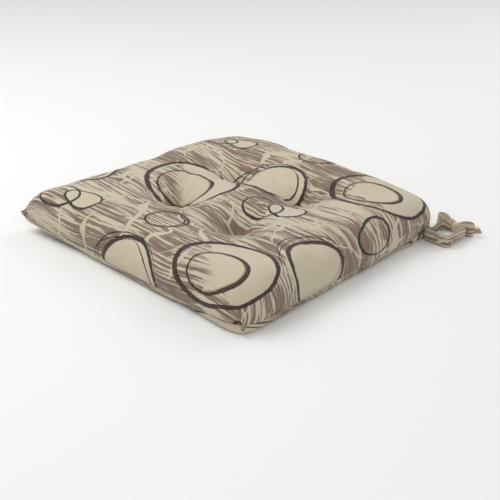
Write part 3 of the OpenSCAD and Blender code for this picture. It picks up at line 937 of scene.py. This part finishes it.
def tuft(name, x, y):
    """A tuft's twine from its bar on the top to its knot below the pad."""
    top, low = TUFT_Z + CLEAR, LOW_TUFT_Z - CLEAR
    side = NEEDLE
    stops = [(-0.2 * side, low - 0.8 * MM), (-0.8 * side, low), (-side, low + 1.5 * MM),
             (-side, (low + top) / 2), (-side, top - 1.4 * MM), (-0.75 * side, top),
             (0, top + 0.2 * MM), (0.75 * side, top), (side, top - 1.4 * MM),
             (side, (low + top) / 2), (side, low + 1.5 * MM), (0.8 * side, low),
             (0.2 * side, low - 0.8 * MM)]
    line = smooth_rows(stops, 0.45 * MM)
    line = np.stack([line[:, 0], np.zeros(len(line)), line[:, 1]], -1)
    parts = [strand(line, TWINE_R, TWINE_R, turn) for turn in (0, math.pi)]
    t = np.linspace(0, 2 * math.pi, 61)[:-1]
    knot = np.stack([np.sin(t) + 2 * np.sin(2 * t), np.cos(t) - 2 * np.cos(2 * t), -np.sin(3 * t)], -1)
    knot = knot * 0.55 * MM + np.array([0, 0, low - 1.2 * MM])
    parts.append(strand(knot, 0.62 * MM))
    for end in (-1, 1):
        tail = np.array([(end * 0.8, 0, -1.2), (end * 2.5, end * 1.5, -1.9), (end * 4.5, end * 2.0, -1.4),
                         (end * 6.5, end * 3.5, -0.6)]) * MM + np.array([0, 0, low])
        parts.append(strand(smooth_rows(tail, 0.8 * MM), 0.5 * MM))
    skins, first = [], 0
    for rings in parts:
        skins += closed_skin(rings, first)
        first += rings.shape[0] * rings.shape[1]
    points = np.vstack([rings.reshape(-1, 3) for rings in parts]) + np.array([x, y, 0])
    return new_piece(name, points, skins, TWINE)


for (x, y), where in zip(TUFTS, ("front_left", "front_right", "rear_left", "rear_right")):
    piece = tuft(f"tuft_{where}", x, y)
    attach(piece, "pad")
    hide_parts(f"tuft_twine_{where}")
print("four tufts of", len(piece.data.polygons), "faces")

# %% [markdown]
# ## Stitches
# A machine stitch is the same short thread over and over along a line, which is what Geometry
# Nodes are for. The tree takes a line, spaces points along it, puts one lozenge of thread on each
# point along the line's direction, and turns the result into plain mesh.


# %% The stitch tree
def stitch_tree():
    """A node tree that lays stitches along a line of edges."""
    tree = bpy.data.node_groups.new("stitches", "GeometryNodeTree")
    face = tree.interface
    face.new_socket("Line", in_out="INPUT", socket_type="NodeSocketGeometry")
    for name in ("Pitch", "Length", "Thread", "Slant"):
        face.new_socket(name, in_out="INPUT", socket_type="NodeSocketFloat")
    face.new_socket("Finish", in_out="INPUT", socket_type="NodeSocketMaterial")
    face.new_socket("Stitches", in_out="OUTPUT", socket_type="NodeSocketGeometry")
    given = tree.nodes.new("NodeGroupInput").outputs
    end = tree.nodes.new("NodeGroupOutput")
    curve = put(tree, "GeometryNodeMeshToCurve", {"Mesh": given["Line"]})
    spaced = put(tree, "GeometryNodeResampleCurve", {"Curve": curve.outputs[0], "Length": given["Pitch"]},
                 mode="LENGTH")
    half_length = calc(tree, "MULTIPLY", given["Length"], 0.5)
    size = put(tree, "ShaderNodeCombineXYZ", {0: given["Thread"], 1: given["Thread"], 2: half_length})
    bead = put(tree, "GeometryNodeMeshUVSphere", {"Segments": 6, "Rings": 5, "Radius": 1.0})
    thread = put(tree, "GeometryNodeTransform", {"Geometry": bead.outputs[0], "Scale": size.outputs[0]})
    lean = put(tree, "ShaderNodeCombineXYZ", {2: given["Slant"]})
    ahead = put(tree, "ShaderNodeVectorMath", {0: tree.nodes.new("GeometryNodeInputTangent").outputs[0],
                1: lean.outputs[0]}, operation="ADD")
    turned = put(tree, "FunctionNodeAlignRotationToVector", {"Vector": ahead.outputs[0]}, axis="Z")
    laid = put(tree, "GeometryNodeInstanceOnPoints", {"Points": spaced.outputs[0],
               "Instance": thread.outputs[0], "Rotation": turned.outputs[0]})
    whole = put(tree, "GeometryNodeRealizeInstances", {"Geometry": laid.outputs[0]})
    done = put(tree, "GeometryNodeSetMaterial", {"Geometry": whole.outputs[0], "Material": given["Finish"]})
    tree.links.new(done.outputs[0], end.inputs[0])
    return tree


STITCHES = stitch_tree()


def stitched(name, line, closed, **sizes):
    """A plain mesh of stitches along a line of points."""
    mesh = bpy.data.meshes.new(name)
    count = len(line)
    edges = [(i, (i + 1) % count) for i in range(count if closed else count - 1)]
    mesh.from_pydata([tuple(p) for p in line], edges, [])
    holder = bpy.data.objects.new(name + "_line", mesh)
    bpy.context.scene.collection.objects.link(holder)
    lay = holder.modifiers.new("stitches", "NODES")
    lay.node_group = STITCHES
    for item in STITCHES.interface.items_tree:
        if item.in_out == "INPUT" and item.name in sizes:
            lay[item.identifier] = sizes[item.name]
        elif item.in_out == "INPUT" and item.name == "Finish":
            lay[item.identifier] = THREAD
    result = bpy.data.meshes.new_from_object(holder.evaluated_get(bpy.context.evaluated_depsgraph_get()))
    bpy.data.objects.remove(holder)
    result.name = name
    result.polygons.foreach_set("use_smooth", [True] * len(result.polygons))
    piece = bpy.data.objects.new(name, result)
    bpy.context.scene.collection.objects.link(piece)
    return piece


# %% The edge seam and the closing stitches
ring_index = np.concatenate([top_index[:-1, 0], top_index[-1, :-1],
                             top_index[:0:-1, -1], top_index[0, :0:-1]])
ring = points[ring_index]
outward = ring[:, :2] / np.abs(ring[:, :2]).max(-1)[:, None]
edge_line = ring.copy()
edge_line[:, :2] += 0.5 * MM * outward
edge_stitches = stitched("edge_seam_stitches", edge_line, True, Pitch=3.0 * MM, Length=2.6 * MM,
                         Thread=0.28 * MM, Slant=0.12)
CLOSING_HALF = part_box("closing_stitches")[1][0]
on_rear = top_index[1:-1, -1]
rear = points[on_rear]
rear = rear[np.abs(rear[:, 0]) < CLOSING_HALF].copy()
rear[:, 1] += 1.5 * MM
closing = stitched("closing_hand_stitches", rear, False, Pitch=6.0 * MM, Length=5.6 * MM,
                   Thread=0.45 * MM, Slant=0.9)
for piece, node in ((edge_stitches, "edge_seam_thread"), (closing, "closing_stitches")):
    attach(piece, "pad")
    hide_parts(node)
    print(piece.name, len(piece.data.polygons), "faces")

# %% [markdown]
# ## The care label
# A strip of satin is folded in half and caught in the rear seam. It carries no print here. Its
# section is one smooth fold, carried along the width with a slight wave, and Solidify makes it thick.

# %% Care label
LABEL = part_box("care_label")
SATIN_T = 0.25 * MM


def label_piece():
    """A folded label that hangs from the rear seam."""
    x0, x1 = LABEL[0][0], LABEL[1][0]
    seam_y = float(np.interp((x0 + x1) / 2, points[on_rear][:, 0], points[on_rear][:, 1]))
    fold = [(-2.5, 0.6), (1.5, 0.4), (4.5, -1.0), (6.4, -4.0), (7.0, -7.2), (6.7, -9.3), (6.1, -9.6),
            (5.6, -8.8), (5.5, -6.8), (4.8, -4.2), (3.2, -2.0), (1.0, -0.7), (-2.5, -0.4)]
    line = smooth_rows(np.array(fold) * MM, 0.6 * MM)
    across = np.linspace(x0, x1, 15)
    wave = 0.5 * MM * np.sin((across - x0) / (x1 - x0) * 5.0)
    hang = np.clip(-line[:, 1] / (9 * MM), 0, 1)
    rows = np.stack([np.stack([np.full(len(line), x), seam_y + line[:, 0] + w * hang,
                               SEAM_Z + line[:, 1]], -1) for x, w in zip(across, wave)])
    count, long = rows.shape[:2]
    at = np.arange(count * long).reshape(count, long)
    faces = [(at[i, j], at[i + 1, j], at[i + 1, j + 1], at[i, j + 1])
             for i in range(count - 1) for j in range(long - 1)]
    piece = new_piece("care_label_folded", rows.reshape(-1, 3), faces, SATIN)
    thick = piece.modifiers.new("thickness", "SOLIDIFY")
    thick.thickness = SATIN_T
    thick.offset = 0
    length = float(np.linalg.norm(np.diff(line, axis=0), axis=1).sum())
    return piece, (x1 - x0, length)


label, label_flat = label_piece()
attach(label, "pad")
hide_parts("care_label")
print("label cut to", [round(v / MM, 1) for v in label_flat], "mm")

# %% [markdown]
# ## The ties
# Two tapes leave each rear corner, pass round the chair's post and are tied in a bow. Each is cotton
# folded to a flat tape with a stitched edge. It stands on its edge round the post and twists flat
# at its tail. The route is a list of given places, the same as in the CAD model: each row has
# the place from the pad's corner, the tape's lean from upright in degrees, and its half width.

# %% Tie routes
HALF_TAPE = 10.0
GATHERED = 5.0
LIFT = 0.3
THICK = 1.0                          # half of the folded tape's thickness
ACROSS = 15                          # points across each face of a tape
ROOT_OUTER = [(-3.4, -3.2, 0, 4.6), (0.1, -3.4, 0, 4.8), (1.6, -5.2, 0, GATHERED), (2.7, -7.6, 0, 5.6)]
ROOT_INNER = [(-3.4, -2.8, 0, 4.6), (-0.6, -0.4, 0, 4.8), (1.2, 2.6, 0, GATHERED), (2.5, 5.2, 0, 5.6)]
OUTER = [(2.6, -7.2, 0, 5.5), (3.5, -10.4, 0, 6.6), (3.8, -14, 0, 8.4), (4.0, -20, 0, HALF_TAPE),
         (5.2, -24.0, 0, HALF_TAPE), (9, -25.3, 0, HALF_TAPE), (18, -25.3, 0, HALF_TAPE),
         (27, -25.3, 0, HALF_TAPE), (36, -25.3, 0, HALF_TAPE), (41.5, -24.6, 0, HALF_TAPE),
         (44, -21.5, 0, HALF_TAPE), (44.3, -14, 0, HALF_TAPE), (44.3, -4, 0, HALF_TAPE),
         (44.3, 6, 0, HALF_TAPE), (44.3, 15, 0, HALF_TAPE), (43.6, 21.5, 0, HALF_TAPE),
         (40.5, 24.8, 0, HALF_TAPE), (34, 25.3, 0, 9), (27, 25.6, 0, 7), (22, 27.6, 4, 5.5),
         (16, 31, 4, 6.5), (8, 36.2, 0, 9), (-2, 39.0, 0, HALF_TAPE), (-8.8, 36.6, 0, HALF_TAPE),
         (-9.2, 32.2, 0, HALF_TAPE), (-3, 29.9, 0, 9.5), (6, 29.9, 4, 8), (14, 31.2, 8, 6),
         (20, 33.2, 20, 5.5), (25, 37.5, 50, 6.5), (31, 44, 78, 8.6), (38, 53, 88, HALF_TAPE),
         (46, 61, 90, HALF_TAPE)]
INNER = [(2.4, 5.0, 0, 5.5), (3.4, 8.0, 0, 6.6), (3.8, 12, 0, 8.4), (4.0, 18, 0, HALF_TAPE),
         (5.0, 22.6, 0, HALF_TAPE), (8.6, 25.0, 0, 9), (13, 26.0, 0, 7.5), (18, 27.6, 4, 5.5),
         (24, 31, 4, 6.5), (32, 35.6, 0, 9), (42, 38.6, 0, HALF_TAPE), (48.8, 36.6, 0, HALF_TAPE),
         (49.4, 32.4, 0, HALF_TAPE), (44, 30.0, 0, 9.5), (35, 29.9, 4, 8), (27, 31.0, 8, 6),
         (20.5, 33.4, -20, 5.5), (15.5, 37.5, -50, 6.5), (9.5, 43.5, -78, 8.6), (1.5, 51, -88, HALF_TAPE),
         (-7.5, 57, -90, HALF_TAPE)]


def tape_frames(route, side):
    """Centre line, width direction, normal and half width of a tape that follows a route."""
    rows = smooth_rows(route, 1.6)
    corner = np.array([side * HALF_W, HALF_D])
    plan = rows[:, :2] * np.array([side, 1]) * MM + corner
    lean = np.radians(rows[:, 2]) * side
    half = rows[:, 3] * MM
    z = LIFT * MM + half * np.cos(lean) + THICK * MM * np.abs(np.sin(lean))
    line = np.concatenate([plan, z[:, None]], 1)
    along = np.gradient(line, axis=0)
    level = np.stack([along[:, 1], -along[:, 0], np.zeros(len(line))], -1)
    level /= np.linalg.norm(level, axis=1)[:, None]
    wide = np.cos(lean)[:, None] * np.array([0, 0, 1.0]) + np.sin(lean)[:, None] * level
    wide, normal = square_frame(line, wide)
    return line, wide, normal, half


def tape_piece(name, route, side):
    """A folded tape along a route, with lengthwise folds, as one closed skin."""
    line, wide, normal, half = tape_frames(route, side)
    travelled = np.concatenate([[0], np.cumsum(np.linalg.norm(np.diff(line, axis=0), axis=1))])
    across = np.sin(np.linspace(-math.pi / 2, math.pi / 2, ACROSS))
    stitched_in = 1 - 0.3 * np.exp(-((np.abs(across) - 0.8) / 0.07) ** 2)
    body = THICK * MM * (1 - np.abs(across) ** 6 * 0.75) * stitched_in
    gathered = np.clip((HALF_TAPE * MM - half) / (4.5 * MM), 0, 1)[:, None]
    ripple = 0.16 * MM * np.sin(across[None] * 6 + travelled[:, None] / (11 * MM))
    folds = gathered * 0.9 * MM * np.sin(across[None] * 9 + travelled[:, None] / (23 * MM))
    shift = ripple + folds
    spread = across[None] * half[:, None]
    front = line[:, None] + spread[..., None] * wide[:, None] + (shift + body)[..., None] * normal[:, None]
    back = line[:, None] + spread[..., None] * wide[:, None] + (shift - body)[..., None] * normal[:, None]
    rings = np.concatenate([front, back[:, ::-1]], 1)
    rings[..., 2] = np.maximum(rings[..., 2], 0.15 * MM)
    flat_across = np.concatenate([across, across[::-1] + 2.2]) * HALF_TAPE * MM
    cloth = np.stack([np.repeat(travelled[:, None], 2 * ACROSS, 1),
                      np.repeat(flat_across[None], len(line), 0), np.zeros((len(line), 2 * ACROSS))], -1)
    piece = new_piece(name, rings.reshape(-1, 3), closed_skin(rings), TAPE, cloth.reshape(-1, 3))
    return piece, line, travelled[-1]


TAPE_DRYNESS = 0.07                  # the tape shows more bare cloth than the cover
TAPE = printed_cotton("printed tape", motifs=False, dry=TAPE_DRYNESS)


# %% The knot
KNOT_TURNS, KNOT_STEPS = 36, 13      # points round the knot's band and across it


def knot_piece(name, side):
    """The bow's knot: a band of tape drawn tight round the crossing, with gathered folds."""
    centre = np.array([side * (HALF_W + 20 * MM), HALF_D + 30.6 * MM, 7.2 * MM])
    turn = np.linspace(0, 2 * math.pi, KNOT_TURNS + 1)[:-1]
    steps = np.linspace(-1, 1, KNOT_STEPS)
    rings = []
    for s in steps:
        plump = math.sqrt(max(1 - abs(s) ** 3.2, 0.02))
        crease = 1 + 0.05 * np.cos(turn * 2 + 5 * s) + 0.035 * math.cos(9 * s)
        rings.append(np.stack([6.4 * s * (1 + 0.06 * np.sin(turn)), 4.6 * plump * crease * np.cos(turn),
                               6.6 * plump * crease * np.sin(turn)], -1))
    rings = np.array(rings) * MM
    rings[..., 0] *= side
    cloth = np.stack([np.repeat((turn * 5.5 * MM)[None], KNOT_STEPS, 0),
                      np.repeat((steps * 6 * MM)[:, None], KNOT_TURNS, 1),
                      np.zeros((KNOT_STEPS, KNOT_TURNS))], -1)
    return new_piece(name, (rings + centre).reshape(-1, 3), closed_skin(rings), TAPE, cloth.reshape(-1, 3))


# %% Both pairs of ties
def tie_stitches(name, route, side):
    """The stitches that close the tape's folded edge, near its upper edge, on its outer face."""
    line, wide, normal, half = tape_frames(route, side)
    place = line + 0.82 * half[:, None] * wide
    sheets = []
    for face in (1, -1):
        sheets.append(stitched(f"{name}_{'a' if face > 0 else 'b'}", place + face * 0.95 * MM * normal, False,
                               Pitch=2.8 * MM, Length=2.2 * MM, Thread=0.22 * MM, Slant=0.0))
    return sheets


def ties(side, where):
    """One corner's pair of ties, its roots and its knot."""
    body = f"{where}_ties"
    root_parts = [tape_piece(f"{where}_root", route, side)[0] for route in (ROOT_OUTER, ROOT_INNER)]
    with bpy.context.temp_override(active_object=root_parts[0], selected_editable_objects=root_parts):
        bpy.ops.object.join()
    root = root_parts[0]
    root.name = f"{where}_tie_roots"
    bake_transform(root)
    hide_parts(f"{where}_tie_root")
    knot = knot_piece(f"{where}_knot", side)
    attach(knot, body)
    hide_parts(f"{where}_bow")
    for kind, route, extra in (("outer", OUTER, [knot]), ("inner", INNER, [])):
        tape, line, length = tape_piece(f"{where}_{kind}_tape", route, side)
        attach(tape, body)
        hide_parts(f"{where}_tie_{kind}")
        rows = tie_stitches(f"{where}_{kind}_stitches", route, side)
        for row in rows:
            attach(row, body)
        print(tape.name, "is", round(length / MM), "mm long")


ties(1, "right")
ties(-1, "left")
